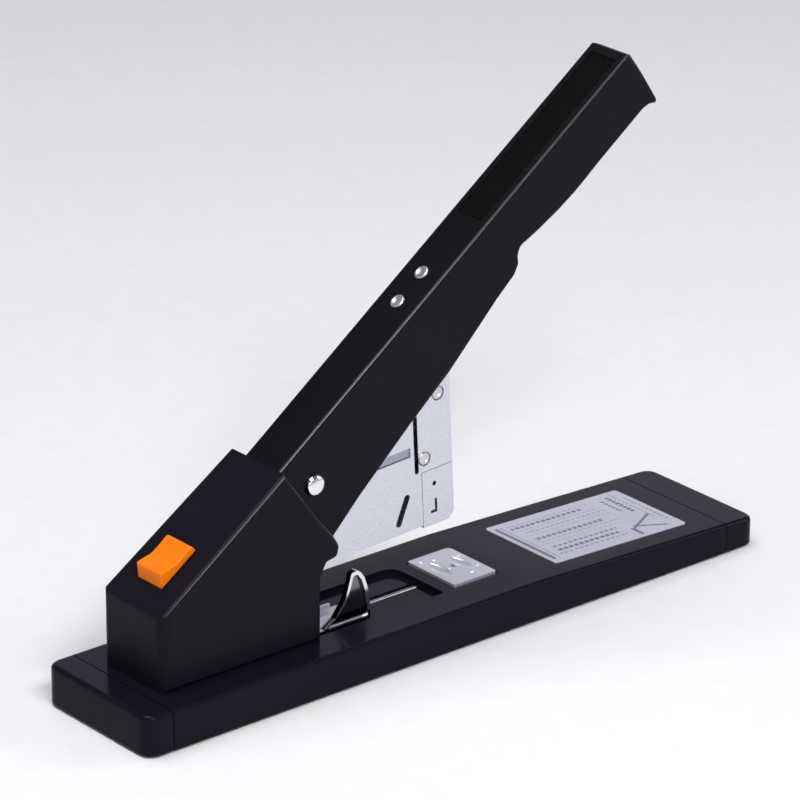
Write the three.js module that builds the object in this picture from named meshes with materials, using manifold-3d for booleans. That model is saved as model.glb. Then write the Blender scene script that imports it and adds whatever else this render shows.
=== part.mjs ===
// Long-base heavy-duty desk stapler, millimetres, +Z up, X along the base (rear -X, front +X).
// The origin is on the ground under the middle of the base.
import * as THREE from 'three';
import { mergeVertices } from 'three/addons/utils/BufferGeometryUtils.js';
import Module from 'manifold-3d';

const wasm = await Module();
wasm.setup();

// ---------- driving dimensions ----------
const GAP = 0.1;                       // seat clearance between fixed neighbours

const BASE = { length: 290, width: 60, bottom: 1, top: 16, wall: 2, edge: 1.8, corner: 6 };
const RAMP = { start: 32, drop: 4.2 };           // the top falls towards the front end
const SEAM = { rear: -133.8, front: 129.6, gap: 0.3 };
const RECESS = { x0: -70, x1: 2, half: 14.7, depth: 2, corner: 6 };
const RAIL_SLOT = { x0: -62, x1: 1, y0: -1.4, y1: 2.4 };
const YOKE_HOLE = { x0: -127.4, x1: -76, half: 12.5 };

const CHASSIS = { x0: -126, x1: 122, half: 26, z0: 3, z1: 5 };
const FOOT = { r: 6, x: 108, y: 19 };
const SCREW = { x: [-92, -14, 60, 112], y: 22.5, head: 3.2, shank: 1.5, boss: 3.6 };

const ANVIL = { x: 18.1, length: 20.2, width: 26.8, z0: 15.2, z1: 16.9 };
const LABEL = { x: 84.8, length: 66.4, width: 40.2, thick: 0.5, corner: 1.5 };

const HINGE = { x: -117, z: 37, r: 3 };          // rear pin that carries the head
const PIVOT = { x: -55.4, z: 73, r: 3 };         // pin that carries the handle
const NOSE = { x: 11.6, z: 42.9, pitch: 3.2 };   // lower front corner of the head, as it rests
const PLATE = { inner: 7.4, outer: 8.6, top: 57.3 };
const STUD = { r: 2.4, hole: 2.85, places: [['upper', -5.7, 50], ['lower', -13, 26.2]] };
const NOSE_BLOCK = { back: -14.5, top: 20.9, bottom: -1.2, chamfer: 2.6 };
const CHANNEL = { back: -112, front: -4.2, half: 7.1, q0: 2.8, q1: 17, wall: 0.8 };
const BLADE = { p0: -3.4, p1: -2.4, half: 5.95, q0: 21.2, q1: 54 };
const DRIVE_PIN = { p: -16.8, q: 49.5, r: 2 };

const HANDLE = { pitch: 36.55, half: 10.15, wall: 1.2, web: 1.5, edge: 1.3, top: 16.35, jog: 113 };
const CORE = { half: 3.8, inner: 2.4, u0: 36, u1: 94, flange: 1.4 };
const WEB_RIVETS = [70.4, 84.3];

const COVER = { rear: -129, front: -57.7, half: 17.6, topHalf: 15.8, wall: 2.2, edge: 2, corner: 4.5 };
const SLOPE = { x: -128, z: 45, angle: 34.75 };  // lower end of the sloping panel
const STOP = { y0: -11.5, y1: 3, rear: -58, front: -30.3, floor: 14.2, sheet: 1.2 };

// ---------- small helpers ----------
const rad = (deg) => deg * Math.PI / 180;

function solid(geometry) {
  const g = geometry.clone();
  g.deleteAttribute('normal');
  g.deleteAttribute('uv');
  const m = mergeVertices(g, 1e-4);
  const index = m.index ? m.index.array : [...Array(m.attributes.position.count).keys()];
  return new wasm.Manifold(new wasm.Mesh({
    numProp: 3,
    vertProperties: new Float32Array(m.attributes.position.array),
    triVerts: new Uint32Array(index),
  }));
}

function geometryOf(body) {
  const mesh = body.getMesh();
  const g = new THREE.BufferGeometry();
  g.setAttribute('position', new THREE.BufferAttribute(new Float32Array(mesh.vertProperties), 3));
  g.setIndex(new THREE.BufferAttribute(new Uint32Array(mesh.triVerts), 1));
  g.computeVertexNormals();
  return g;
}

const join = (...parts) => parts.reduce((a, b) => a.add(b));
const cut = (body, ...tools) => tools.reduce((a, b) => a.subtract(b), body);

// Closed outline from corners [a, b, radius]; the radius may be left out.
function outline(corners) {
  const shape = new THREE.Shape();
  const n = corners.length;
  corners.forEach(([x, y, r = 0], i) => {
    const [px, py] = corners[(i + n - 1) % n];
    const [nx, ny] = corners[(i + 1) % n];
    const back = new THREE.Vector2(px - x, py - y);
    const ahead = new THREE.Vector2(nx - x, ny - y);
    const half = Math.acos(Math.max(-1, Math.min(1,
      back.clone().normalize().dot(ahead.clone().normalize())))) / 2;
    const limit = 0.49 * Math.min(back.length(), ahead.length());
    const reach = r > 0 ? Math.min(r / Math.tan(half), limit) : 0;
    const a = back.setLength(reach || 1e-9).add({ x, y });
    const b = ahead.setLength(reach || 1e-9).add({ x, y });
    if (i === 0) shape.moveTo(reach ? a.x : x, reach ? a.y : y);
    else shape.lineTo(reach ? a.x : x, reach ? a.y : y);
    if (reach) shape.quadraticCurveTo(x, y, b.x, b.y);
  });
  shape.closePath();
  return shape;
}

const box = (x0, x1, y0, y1, z0, z1) => solid(new THREE.BoxGeometry(x1 - x0, y1 - y0, z1 - z0)
  .translate((x0 + x1) / 2, (y0 + y1) / 2, (z0 + z1) / 2));

// Plan outline raised from z0 to z1.
const slab = (shape, z0, z1, curve = 5) => solid(new THREE.ExtrudeGeometry(shape,
  { depth: z1 - z0, bevelEnabled: false, curveSegments: curve }).translate(0, 0, z0));

// Side outline (x, z) given width from y0 to y1; `round` softens both long edges.
function side(shape, y0, y1, round = 0, curve = 5) {
  const g = new THREE.ExtrudeGeometry(shape, {
    depth: y1 - y0 - 2 * round, bevelEnabled: round > 0, bevelThickness: round,
    bevelSize: round, bevelOffset: -round, bevelSegments: 4, curveSegments: curve,
  });
  return solid(g.rotateX(Math.PI / 2).translate(0, y1 - round, 0));
}

// Cross-section (y, z) carried along X from x0 to x1.
const along = (shape, x0, x1, curve = 5) => solid(new THREE.ExtrudeGeometry(shape,
  { depth: x1 - x0, bevelEnabled: false, curveSegments: curve })
  .rotateX(Math.PI / 2).rotateZ(Math.PI / 2).translate(x0, 0, 0));

// Round bar across the machine.
const bar = (x, z, r, y0, y1, n = 24) => solid(new THREE.CylinderGeometry(r, r, y1 - y0, n)
  .translate(x, (y0 + y1) / 2, z));

// Upright round bar.
const post = (x, y, r, z0, z1, n = 24) => solid(new THREE.CylinderGeometry(r, r, z1 - z0, n)
  .rotateX(Math.PI / 2).translate(x, y, (z0 + z1) / 2));

// Turned profile [radius, height] standing on the origin along +Z.
const turned = (profile, n = 24) => new THREE.LatheGeometry(
  profile.map(([r, h]) => new THREE.Vector2(r, h)), n).rotateX(Math.PI / 2);

function shear(body, test, move) {
  return body.warp((v) => { if (test(v)) move(v); });
}

const rampAt = (x) => (x > RAMP.start
  ? RAMP.drop * (x - RAMP.start) / (BASE.length / 2 - RAMP.start) : 0);

const lowerTop = (body) => shear(body, (v) => v[2] > 9, (v) => { v[2] -= rampAt(v[0]); });

// Head frame: p forwards along the magazine, q up along the driver, from the nose corner.
const headTurn = rad(NOSE.pitch);
const head = (p, q) => [
  NOSE.x + p * Math.cos(headTurn) - q * Math.sin(headTurn),
  NOSE.z + p * Math.sin(headTurn) + q * Math.cos(headTurn),
];
const inHead = (body) => body.rotate([0, -NOSE.pitch, 0]).translate([NOSE.x, 0, NOSE.z]);
const inHandle = (body) => body.rotate([0, -HANDLE.pitch, 0]).translate([PIVOT.x, 0, PIVOT.z]);
const inSlope = (body) => body.rotate([0, -SLOPE.angle, 0]).translate([SLOPE.x, 0, SLOPE.z]);

// ---------- materials and assembly ----------
const FINISH = {
  gloss_black: { color: 0x17161b, roughness: 0.16, metalness: 0 },
  matte_black: { color: 0x1d1c21, roughness: 0.42, metalness: 0 },
  rubber: { color: 0x232325, roughness: 0.85, metalness: 0 },
  orange: { color: 0xff7a0e, roughness: 0.35, metalness: 0 },
  zinc: { color: 0xc6c9d4, roughness: 0.3, metalness: 1 },
  chrome: { color: 0xdfe1e6, roughness: 0.08, metalness: 1 },
  spring: { color: 0x9b9ca2, roughness: 0.35, metalness: 1 },
  staple: { color: 0xb9bdc6, roughness: 0.28, metalness: 1 },
  plate: { color: 0xb4b6bd, roughness: 0.45, metalness: 0.6 },
};

const stapler = new THREE.Group();
stapler.name = 'desk_stapler';

function add(name, finish, body) {
  const geometry = body.isBufferGeometry ? body : geometryOf(body);
  const mesh = new THREE.Mesh(geometry, new THREE.MeshStandardMaterial(FINISH[finish]));
  mesh.name = name;
  stapler.add(mesh);
}

// ---------- base: moulded shell in three lengths ----------
function baseSection(x0, x1) {
  const h = BASE.width / 2;
  const w = BASE.wall;
  const [rear, front] = [x0 - 9, x1 + 9];
  const profile = (inset) => outline([[rear, -9], [front, -9],
    [front, BASE.top - rampAt(front) - inset], [RAMP.start, BASE.top - inset],
    [rear, BASE.top - inset]]);
  return side(profile(0), -h, h, BASE.edge)
    .subtract(side(profile(w), -h + w, h - w))
    .intersect(box(x0, x1, -h - 1, h + 1, BASE.bottom, BASE.top + 1));
}

function recessOutline(grow) {
  const { x0, x1, half, corner } = RECESS;
  const w = half + grow;
  return outline([[x0 - grow, -w], [x1 + grow, -w, 1.5 + grow],
    [x1 + grow, w, corner + grow], [x0 - grow, w]]);
}

function anvilOutline(grow) {
  const l = ANVIL.length / 2 + grow;
  const w = ANVIL.width / 2 + grow;
  return outline([[ANVIL.x - l, -w, 1], [ANVIL.x + l, -w, 1],
    [ANVIL.x + l, w, 2.4], [ANVIL.x - l, w, 1]]);
}

function labelBody(grow, lift, thick) {
  const l = LABEL.length / 2 + grow;
  const w = LABEL.width / 2 + grow;
  const r = LABEL.corner + grow;
  const shape = outline([[LABEL.x - l, -w, r], [LABEL.x + l, -w, r],
    [LABEL.x + l, w, r], [LABEL.x - l, w, r]]);
  return lowerTop(slab(shape, BASE.top + lift, BASE.top + lift + thick));
}

function baseShell() {
  const middle = BASE.top - RECESS.depth;
  const x0 = SEAM.rear + SEAM.gap / 2;
  const x1 = SEAM.front - SEAM.gap / 2;
  let body = baseSection(x0, x1);
  body = body.add(slab(recessOutline(2), middle - 2, BASE.top - 1));
  body = body.add(box(ANVIL.x - 12, ANVIL.x + 12, -15, 15, 12.4, BASE.top - 1));
  for (const x of SCREW.x) {
    for (const y of [-SCREW.y, SCREW.y]) {
      body = body.add(post(x, y, SCREW.boss, CHASSIS.z1 + GAP, BASE.top - rampAt(x) - 1.2, 16));
      body = body.subtract(post(x, y, SCREW.shank + 0.15, CHASSIS.z1 - 1, 10.8, 16));
    }
  }
  const slot = RAIL_SLOT;
  return cut(body,
    slab(recessOutline(0), middle, BASE.top + 1),
    box(slot.x0 + 4, slot.x1 - 5, slot.y0, slot.y1, middle - 5, middle + 1),
    box(slot.x0, slot.x1, slot.y0, slot.y1, 12.1, middle + 1),
    box(YOKE_HOLE.x0, YOKE_HOLE.x1, -YOKE_HOLE.half, YOKE_HOLE.half, 8, BASE.top + 1),
    slab(anvilOutline(0.5), ANVIL.z0 - GAP, BASE.top + 1),
    labelBody(0.2, -0.25, 2));
}

// Moulded end: rounded in plan, rounded along the top edge, hollow below.
function endCap(rear) {
  const h = BASE.width / 2;
  const sign = rear ? -1 : 1;
  const tip = sign * BASE.length / 2;
  const seam = rear ? SEAM.rear - SEAM.gap / 2 : SEAM.front + SEAM.gap / 2;
  const deep = tip - sign * 40;
  const plan = (inset) => outline([
    [deep, -h + inset], [tip - sign * inset, -h + inset, BASE.corner - inset],
    [tip - sign * inset, h - inset, BASE.corner - inset], [deep, h - inset],
  ]);
  const e = BASE.edge;
  const outer = solid(new THREE.ExtrudeGeometry(plan(0), {
    depth: 20 - 2 * e, bevelEnabled: true, bevelThickness: e, bevelSize: e,
    bevelOffset: -e, bevelSegments: 4, curveSegments: 8,
  }).translate(0, 0, BASE.top - 20 + e));
  const keep = box(Math.min(tip + sign, seam), Math.max(tip + sign, seam),
    -h - 1, h + 1, BASE.bottom, BASE.top + 1);
  const hollow = slab(plan(BASE.wall), -5, BASE.top - BASE.wall, 8);
  const notch = box(seam - 1.6, seam + 1.6, -1.2, 1.2, 0, 4);
  return lowerTop(outer.intersect(keep).subtract(hollow).subtract(notch));
}

add('base_shell', 'gloss_black', baseShell());
add('rear_end_cap', 'gloss_black', endCap(true));
add('front_end_cap', 'gloss_black', endCap(false));

// ---------- steel chassis, feet and underside screws ----------
function chassisPlate() {
  const { x0, x1, half, z0, z1 } = CHASSIS;
  let body = slab(outline([[x0, -half, 5], [x1, -half, 5], [x1, half, 5], [x0, half, 5]]), z0, z1);
  for (const x of SCREW.x) {
    for (const y of [-SCREW.y, SCREW.y]) {
      body = body.subtract(post(x, y, SCREW.shank + 0.2, z0 - 1, z1 + 1, 16));
    }
  }
  return body;
}
add('chassis_plate', 'zinc', chassisPlate());

const FOOT_PROFILE = [[0, 0], [FOOT.r - 1, 0], [FOOT.r - 0.2, 0.5], [FOOT.r, 1.2],
  [FOOT.r, 2.9], [0, 2.9]];
[['rear_near', -1, -1], ['rear_far', -1, 1], ['front_near', 1, -1], ['front_far', 1, 1]]
  .forEach(([place, sx, sy]) => add(`foot_${place}`, 'rubber',
    solid(turned(FOOT_PROFILE, 28).translate(sx * FOOT.x - 4, sy * FOOT.y, 0))));

const SCREW_PROFILE = [[0, -1.6], [2.2, -1.6], [SCREW.head, -0.9], [SCREW.head, -0.1],
  [SCREW.shank, -0.1], [SCREW.shank, 7.2], [0, 7.2]];
for (const [label, x] of [['rear', SCREW.x[0]], ['front', SCREW.x[2]]]) {
  for (const [sideName, y] of [['near', -SCREW.y], ['far', SCREW.y]]) {
    const recess = box(x - 1.9, x + 1.9, y - 0.35, y + 0.35, 0, CHASSIS.z0 - 0.8);
    add(`base_screw_${label}_${sideName}`, 'zinc',
      solid(turned(SCREW_PROFILE, 20).translate(x, y, CHASSIS.z0)).subtract(recess));
  }
}

// ---------- anvil, label and paper stop rail on the base ----------
function anvilPlate() {
  const groove = (x, half) => solid(new THREE.SphereGeometry(1, 24, 16)
    .scale(2.8, half, 1).translate(x, 0, ANVIL.z1 + 0.15));
  let body = slab(anvilOutline(0), ANVIL.z0, ANVIL.z1);
  body = cut(body, groove(ANVIL.x - 5.4, 7.4), groove(ANVIL.x + 4.6, 6.6),
    post(ANVIL.x + 0.4, 0, 1.15, 14, 20, 20));
  for (const [dx, dy] of [[-6.6, 9.6], [-1.5, 8], [8, 5.4], [8, -5.4], [2.6, -8.6], [-1.9, -1.2]]) {
    body = body.subtract(post(ANVIL.x + dx, dy, 0.9, ANVIL.z1 - 0.5, 20, 12));
  }
  return body;
}
add('anvil_plate', 'zinc', anvilPlate());
add('label_plate', 'plate', labelBody(0, -0.2, LABEL.thick));
add('stop_rail', 'chrome', solid(new THREE.CylinderGeometry(1, 1, RAIL_SLOT.x1 - RAIL_SLOT.x0 - 0.6, 16)
  .rotateZ(Math.PI / 2).translate((RAIL_SLOT.x0 + RAIL_SLOT.x1) / 2, -0.2, 13.15)));

// ---------- paper stop: foot plate, rail clip and fin pressed from one sheet ----------
function paperStop() {
  const { y0, y1, rear, front, floor, sheet } = STOP;
  const fin = [[front, floor], [front - 0.2, 20], [front - 1.2, 26.4], [front - 2.8, 31.2],
    [front - 4.6, 33.8, 1.5], [front - 6.6, 34.8, 1.5], [front - 8.9, 34.4, 1.5],
    [front - 9.7, 31.4, 4], [front - 11.7, 24.8, 6], [front - 16, 18.8, 6],
    [front - 21.4, floor + sheet, 2], [front - 21.4, floor]];
  const inner = [[front - 1.3, floor + sheet], [front - 1.5, 20], [front - 2.6, 26.2],
    [front - 4.1, 30.6], [front - 6, 33.2, 1], [front - 8, 33.2, 1], [front - 9.3, 28.6, 4],
    [front - 12, 22.6, 5], [front - 16.4, 18], [front - 19.6, floor + sheet + 0.6],
    [front - 19.6, floor + sheet]];
  const rim = side(outline(fin), y0, y0 + 2.6).subtract(side(outline(inner), y0 - 1, y0 + 9));
  return join(
    side(outline(fin), y0 + 2.6 - sheet, y0 + 2.6),
    rim,
    box(rear, front - 1.2, y0, y1, floor, floor + sheet),
    box(rear + 4, front - 8, y1 - 1.2, y1, floor, floor + 3.2),
    box(rear + 8.6, front - 8, RAIL_SLOT.y1 - 0.9, RAIL_SLOT.y1 - 0.3, 11.3, floor + 0.4),
    box(rear + 8.6, front - 8, -0.8, RAIL_SLOT.y1 - 0.3, 10.9, 11.7));
}
add('paper_stop', 'chrome', paperStop());

// ---------- rear yoke and its hinge pin ----------
function yoke() {
  const arm = outline([[-126, CHASSIS.z1 + GAP], [-104, CHASSIS.z1 + GAP], [-104, 18],
    [-108.5, 42, 6], [HINGE.x, 47.5, 7], [-124.5, 42, 6], [-126, 18]]);
  const hole = bar(HINGE.x, HINGE.z, HINGE.r + 0.1, -20, 20);
  return join(
    box(-126, -78, -10.6, 10.6, CHASSIS.z1 + GAP, CHASSIS.z1 + GAP + 1.5),
    side(arm, -10.6, -9.1), side(arm, 9.1, 10.6)).subtract(hole);
}
add('yoke', 'zinc', yoke());

function headedPin(x, z, r, headR, headH, y, tip) {
  const profile = [[0, -tip - headH], [headR * 0.75, -tip - headH], [headR, -tip - headH * 0.6],
    [headR, -tip], [r, -tip], [r, y], [headR, y], [headR, y + headH * 0.35],
    [headR * 0.8, y + headH * 0.72], [headR * 0.45, y + headH * 0.95], [0, y + headH]];
  return solid(turned(profile, 28).rotateX(Math.PI / 2).translate(x, 0, z));
}
add('hinge_pin', 'zinc', headedPin(HINGE.x, HINGE.z, HINGE.r, 4.4, 1.4, 10.75, 10.75));

// Coil spring about Z from z0 to z1.
class Helix extends THREE.Curve {
  constructor(radius, turns, z0, z1) {
    super();
    Object.assign(this, { radius, turns, z0, z1 });
  }

  getPoint(t, target = new THREE.Vector3()) {
    const a = 2 * Math.PI * this.turns * t;
    const ease = Math.min(1, Math.max(0, (t - 0.08) / 0.84));
    return target.set(this.radius * Math.cos(a), this.radius * Math.sin(a),
      this.z0 + (this.z1 - this.z0) * ease
      + 0.9 * (Math.min(t, 0.08) + Math.max(t, 0.92) - 0.92) / 0.08);
  }
}

function coil(radius, wire, turns, z0, z1, steps) {
  const ring = new THREE.Shape();
  for (let i = 0; i < 7; i += 1) {
    const a = 2 * Math.PI * i / 7;
    ring[i ? 'lineTo' : 'moveTo'](wire * Math.cos(a), wire * Math.sin(a));
  }
  ring.closePath();
  return solid(new THREE.ExtrudeGeometry(ring, {
    steps, bevelEnabled: false, extrudePath: new Helix(radius, turns, z0, z1),
  }));
}
add('lift_spring', 'spring', coil(5, 0.6, 7.5, CHASSIS.z1 + 2.3, 32.6, 130).translate([-85, 0, 0]));

// ---------- rear cover ----------
const COVER_SIDE = [
  [COVER.rear, BASE.top + 0.05], [COVER.rear, SLOPE.z - 0.5, 3.5], [-72.6, 83.6],
  [-68.2, 77], [-58.3, 63.4, 4], [-51.2, 54.2, 3], [-48.8, 50.2, 3], [-49.9, 46.0, 2.5],
  [-55, 45, 1.5], [COVER.front, 40, 3], [COVER.front, BASE.top + 0.05],
];

function taper(body) {
  const k = (COVER.half - COVER.topHalf) / COVER.half / (83.5 - SLOPE.z);
  return shear(body, (v) => v[2] > SLOPE.z, (v) => { v[1] *= 1 - k * (v[2] - SLOPE.z); });
}

function rearCover() {
  const { half, wall, edge, rear, corner } = COVER;
  const s = wall / Math.cos(rad(SLOPE.angle));
  const inner = outline([[rear + wall, 10], [rear + wall, SLOPE.z - 1.3, 2],
    [-60, SLOPE.z + 68 * Math.tan(rad(SLOPE.angle)) - s], [-40, 95], [-40, 10]]);
  const plan = outline([[rear, -half, corner], [0, -half], [0, half], [rear, half, corner]]);
  const outer = side(outline(COVER_SIDE), -half, half, edge, 6).intersect(slab(plan, 0, 100, 8));
  return cut(taper(outer), taper(side(inner, -half + wall, half - wall)),
    inSlope(box(11, 23, -3.1, 3.1, -6, 6)));
}
add('rear_cover', 'matte_black', rearCover());

// ---------- release button on the slope ----------
function releaseButton() {
  const cap = side(outline([[9, 0.35], [27.4, 0.35], [27.2, 3.3, 1.4], [22, 3, 6],
    [18, 3.1, 5], [15.4, 4.2, 4], [11.9, 5.5, 1.1]]), -7, 7, 0.5);
  return inSlope(cap.add(box(15.5, 21.5, -2.4, 2.4, -8, 1.2)));
}
add('release_button', 'orange', releaseButton());

// ---------- head: two side plates ----------
function ear(cx, cz, r, from, to, n) {
  return [...Array(n).keys()].map((i) => {
    const a = rad(from + (to - from) * i / (n - 1));
    return [cx + r * Math.cos(a), cz + r * Math.sin(a)];
  });
}

function roundSlot(p0, q0, p1, q1, r) {
  const length = Math.hypot(p1 - p0, q1 - q0);
  const turn = THREE.MathUtils.radToDeg(Math.atan2(q1 - q0, p1 - p0));
  const shape = outline([[-r, -r, r], [length + r, -r, r], [length + r, r, r], [-r, r, r]]);
  return side(shape, -20, 20).rotate([0, -turn, 0]).translate([p0, 0, q0]);
}

function sidePlate(sign) {
  const nb = NOSE_BLOCK;
  const shape = outline([
    head(nb.back - 0.2, 0), head(-75, 0), [-104, 31.2],
    ...ear(HINGE.x, HINGE.z, 7.6, 295, 110, 8), [-106, 52, 5], [-76, 70.5, 5],
    ...ear(PIVOT.x, PIVOT.z, 12, 168, 104, 5),
    [...head(0, PLATE.top), 1.6], head(0, nb.top + 0.2), head(nb.back - 0.2, nb.top + 0.2),
  ]);
  const y0 = sign < 0 ? -PLATE.outer : PLATE.inner;
  const y1 = sign < 0 ? -PLATE.inner : PLATE.outer;
  const rib = inHead(box(-44, -19.4, sign < 0 ? -20 : 8, sign < 0 ? -8 : 20, 28.9, 32.6));
  return cut(side(shape, y0, y1),
    bar(HINGE.x, HINGE.z, HINGE.r + 0.12, -20, 20),
    bar(PIVOT.x, PIVOT.z, PIVOT.r + 0.1, -20, 20),
    inHead(roundSlot(-16.8, 22.3, -16.8, 51.2, 0.95)),
    inHead(roundSlot(-26.1, 4.5, -21.9, 13.4, 1.3)),
    ...STUD.places.map(([, p, q]) => inHead(bar(p, q, STUD.hole, -20, 20))),
    rib);
}
add('head_plate_near', 'zinc', sidePlate(-1));
add('head_plate_far', 'zinc', sidePlate(1));

function frontPlate() {
  const q0 = NOSE_BLOCK.top + 0.4;
  const q1 = PLATE.top - 3;
  return inHead(cut(box(-13.6, -0.6, -7.3, 7.3, q0, q1),
    box(-20, -2, -6.1, 6.1, q0 - 1, q1 + 1)));
}
add('head_front_plate', 'zinc', frontPlate());

const STUD_PROFILE = [[0, 0], [STUD.r, 0], [STUD.r, 1.15], [STUD.r - 0.5, 1.3], [0, 1.35]];
for (const [label, p, q] of STUD.places) {
  for (const [sideName, sign] of [['near', -1], ['far', 1]]) {
    const stud = turned(STUD_PROFILE, 24).rotateX(sign < 0 ? Math.PI / 2 : -Math.PI / 2);
    add(`head_rivet_${label}_${sideName}`, 'zinc',
      inHead(solid(stud.translate(p, sign * PLATE.inner, q))));
  }
}

add('spring_seat', 'zinc', box(-91.5, -78.5, -7.3, 7.3, 35.2, 36.6));
add('latch_pin', 'zinc', bar(-107, 43.5, 1.5, -7.3, 7.3, 20));
add('pivot_pin', 'chrome', headedPin(PIVOT.x, PIVOT.z, PIVOT.r, 4.2, 2.2, 10.35, 10.35));
add('return_spring', 'spring', coil(4.9, 0.65, 4.25, -2.8, 2.8, 84)
  .rotate([90, 0, 0]).translate([PIVOT.x, 0, PIVOT.z]));

// ---------- driver ----------
add('driver_blade', 'zinc', inHead(box(BLADE.p0, BLADE.p1, -BLADE.half, BLADE.half, BLADE.q0, BLADE.q1)));

function driverBlock() {
  const { p, q, r } = DRIVE_PIN;
  const body = join(box(-20.4, BLADE.p0 - GAP, -5.9, 5.9, 42.4, 54),
    box(p - 0.75, p + 0.75, -8.3, 8.3, 43.6, 51.4));
  return inHead(cut(body, box(-30, -6.4, -4.1, 4.1, 40, 60), bar(p, q, r + 0.08, -7, 7)));
}
add('driver_block', 'zinc', driverBlock());
add('driver_pin', 'zinc', inHead(bar(DRIVE_PIN.p, DRIVE_PIN.q, DRIVE_PIN.r, -5.8, 5.8)));

// ---------- magazine: nose block, channel, staples ----------
function magazineNose() {
  const { back, top, bottom, chamfer } = NOSE_BLOCK;
  const shape = outline([[back, bottom], [-chamfer, bottom], [0, bottom + chamfer], [0, top],
    [back, top]]);
  const inner = PLATE.inner - 0.15;
  const tab = join(box(-8.9, -7.9, -20, 20, 4, 9), box(-10.9, -7.9, -20, 20, 3.6, 4.6));
  return inHead(cut(side(shape, -PLATE.outer, PLATE.outer),
    box(back - 1, -4, -inner, inner, CHANNEL.q0 - GAP, top + 1),
    box(-4.1, -2, -6.3, 6.3, bottom - 1, top + 1),
    tab,
    bar(-8.8, 15.1, 0.9, -9, 9, 16)));
}
add('magazine_nose', 'zinc', magazineNose());

function magazineChannel() {
  const { back, front, half, q0, q1, wall } = CHANNEL;
  return inHead(join(
    cut(box(back, front, -half, half, q0, q1),
      box(back - 1, front + 1, -half + wall, half - wall, q0 + wall, q1 + 1)),
    box(back + 1.4, back + 2.6, -half + 0.4, -2.9, q0 + 0.4, q0 + 3.8),
    box(back + 1.4, back + 2.6, 2.9, half - 0.4, q0 + 0.4, q0 + 3.8)));
}
add('magazine_channel', 'zinc', magazineChannel());

// The strip is one glued comb: a crown band with legs and fine score lines.
function stapleStrip() {
  const q0 = CHANNEL.q0 + CHANNEL.wall + GAP;
  const [p0, p1] = [-54.4, -4.4];
  let body = cut(box(p0, p1, -6.15, 6.15, q0, q0 + 11),
    box(p0 - 1, p1 + 1, -5.45, 5.45, q0 - 1, q0 + 10.3));
  for (let p = p0 + 2.5; p < p1 - 1; p += 2.5) {
    body = body.subtract(box(p - 0.09, p + 0.09, -7, 7, q0 + 10.85, q0 + 12));
  }
  return inHead(body);
}
add('staple_strip', 'staple', stapleStrip());

function pusher() {
  const q0 = CHANNEL.q0 + CHANNEL.wall + 0.15;
  const shape = outline([[-55.2, q0], [-55.2, q0 + 10.9, 1], [-58, q0 + 10.9], [-60, q0 + 12.2, 1],
    [-66, q0 + 12.2, 2], [-68.5, q0 + 6, 2], [-68.5, q0]]);
  return inHead(cut(side(shape, -6.1, 6.1), box(-67, -57, -3.6, 3.6, q0 - 1, q0 + 9)));
}
add('pusher', 'matte_black', pusher());

// ---------- latch that holds the magazine in ----------
function latchLever() {
  const shape = outline([[-113.6, 45.2, 0.8], [-107, 40.9, 2], [-103.8, 43, 2], [-97.8, 44.6, 0.5],
    [-97.6, 41.3], [-95.8, 41.3], [-95.2, 46.8, 1.5], [-105, 47.2, 2], [-108.5, 46.2, 1],
    [-113.2, 46.7, 0.6]]);
  return cut(side(shape, -2.6, 2.6), bar(-107, 43.5, 1.65, -9, 9, 20));
}
add('latch_lever', 'zinc', latchLever());

// ---------- handle ----------
const LEVER_SIDE = [
  [-7, HANDLE.top], [194.6, HANDLE.top], [196.1, 14.3], [194.9, -8.4], [193.7, -9.5],
  [191.1, -7.5], [188, -6.6, 3], [173, -6.7], [161, -6.7], [149, -7.1, 20], [138, -6.5, 20], [127, -5.2, 20],
  [117.4, -3.5, 2.5], [114.7, -5.2, 2], [113, -8.2, 2], [109, -10.2, 3], [98, -11.3, 10],
  [67, -16.1, 14], [42, -17.9, 20], [10.4, -21.2], [-8.8, -24.2, 3], [-11.4, -14, 5],
  [-11.6, 0, 6], [-9, 10, 3],
];

function handleShell() {
  const { half, wall, web, top, jog } = HANDLE;
  const outer = side(outline(LEVER_SIDE), -half, half, HANDLE.edge, 4);
  const belly = along(outline([[-half - 1, 30], [-half - 1, -3], [-half, -3], [-half, -7.3, 5],
    [half, -7.3, 5], [half, -3], [half + 1, -3], [half + 1, 30]]), jog + 3, 189.6, 5);
  const rest = box(-30, jog + 3, -half - 1, half + 1, -30, 30);
  const tip = slab(outline([[189.6, -half], [196.2, -half, 3], [196.2, half, 3], [189.6, half]]),
    -30, 30);
  const shaped = outer.intersect(join(belly, rest, tip));
  const cavity = outline([[-40, -60], [jog - 3, -60], [jog - 3, -4.2], [191.5, -4.2],
    [191.5, top - web], [-40, top - web]]);
  const pad = box(112, 191, -6.6, 6.6, top - 0.6, top + 3);
  const rivets = WEB_RIVETS.map((u) => post(u, 0, 2.1, top - 4, top + 2));
  return inHandle(cut(shaped, side(cavity, -half + wall, half - wall),
    pad, ...rivets, bar(0, 0, PIVOT.r + 0.12, -20, 20, 28)));
}
add('handle_shell', 'matte_black', handleShell());

function gripPad() {
  const { top } = HANDLE;
  const plan = outline([[112.25, -6.35, 0.8], [190.75, -6.35, 0.8], [190.75, 6.35, 0.8],
    [112.25, 6.35, 0.8]]);
  return inHandle(slab(plan, top - 0.55, top - 0.12));
}
add('grip_pad', 'rubber', gripPad());

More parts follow.
